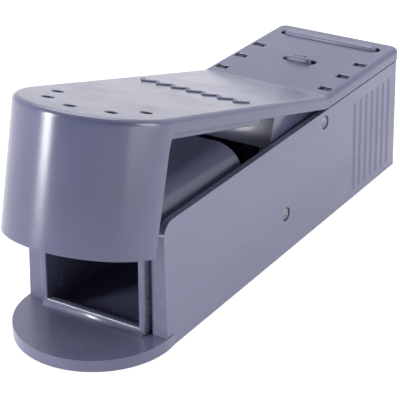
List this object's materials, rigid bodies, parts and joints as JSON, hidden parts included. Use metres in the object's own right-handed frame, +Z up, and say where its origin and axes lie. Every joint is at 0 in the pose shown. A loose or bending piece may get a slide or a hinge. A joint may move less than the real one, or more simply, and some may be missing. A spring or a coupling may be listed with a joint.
{
  "type": "snap mouse trap",
  "caption": "Box-type snap mouse trap: a hooded rocking lid over a tunnel housing, with a sprung striker, a treadle and a catch, shown set.",
  "frame": {"origin": "on the underside of the housing's floor, on the centre line, 112 mm in front of the rear wall's rim", "axes": "+Y towards the rear grip end, -Y towards the entrance and hood, +X to the side that is on the right when the lid is looked down on from behind the entrance, +Z up"},
  "size_m": [0.0634, 0.2323, 0.0958],
  "materials": {
    "housing_plastic": "moulded, semi-gloss, blue-violet grey",
    "hood_plastic": "moulded, glossy, blue-violet grey, lightly scuffed",
    "dark_plastic": "moulded, satin, dark grey",
    "pin_steel": "drawn and domed, satin",
    "spring_steel": "spring wire, oiled"
  },
  "bodies": {
    "housing": {"housing_shell": "housing_plastic", "entrance_tunnel": "housing_plastic", "pivot_pin": "pin_steel", "striker_pins": "pin_steel", "treadle_pin": "pin_steel", "catch_pin": "pin_steel", "bait_cup": "dark_plastic", "pivot_washers": "dark_plastic", "main_spring_left": "spring_steel", "main_spring_right": "spring_steel", "treadle_spring": "spring_steel", "catch_spring": "spring_steel"},
    "hood": {"hood_cover": "hood_plastic", "lever_frame": "hood_plastic", "lid_clips": "dark_plastic", "grip_bar": "hood_plastic"},
    "striker": {"striker_arm_left": "dark_plastic", "striker_arm_right": "dark_plastic", "striker_bar": "pin_steel", "striker_pegs": "pin_steel"},
    "treadle": {"treadle_plate": "dark_plastic"},
    "catch": {"catch_lever": "hood_plastic"}
  },
  "joints": [
    {"name": "hood_pivot", "type": "hinge", "parent": "housing", "child": "hood", "pos_m": [0, 0.0422, 0.0453], "axis": [1, 0, 0], "range_deg": [0, 15.2]},
    {"name": "striker_pivot", "type": "hinge", "parent": "housing", "child": "striker", "pos_m": [0, 0.0088, 0.0172], "axis": [1, 0, 0], "range_deg": [-90, 0]},
    {"name": "treadle_pivot", "type": "hinge", "parent": "housing", "child": "treadle", "pos_m": [0, 0.054, 0.0054], "axis": [1, 0, 0], "range_deg": [0, 2.3], "stiffness_Nm_per_rad": 0.005, "springref_deg": -28.65},
    {"name": "catch_pivot", "type": "hinge", "parent": "housing", "child": "catch", "pos_m": [0, 0.079, 0.009], "axis": [1, 0, 0], "range_deg": [-1.9, 0], "stiffness_Nm_per_rad": 0.003, "springref_deg": 17.19}
  ],
  "couplings": [
    {"joint": "striker_pivot", "follows": "hood_pivot", "ratio": -5.9},
    {"joint": "catch_pivot", "follows": "treadle_pivot", "ratio": -0.8}
  ]
}
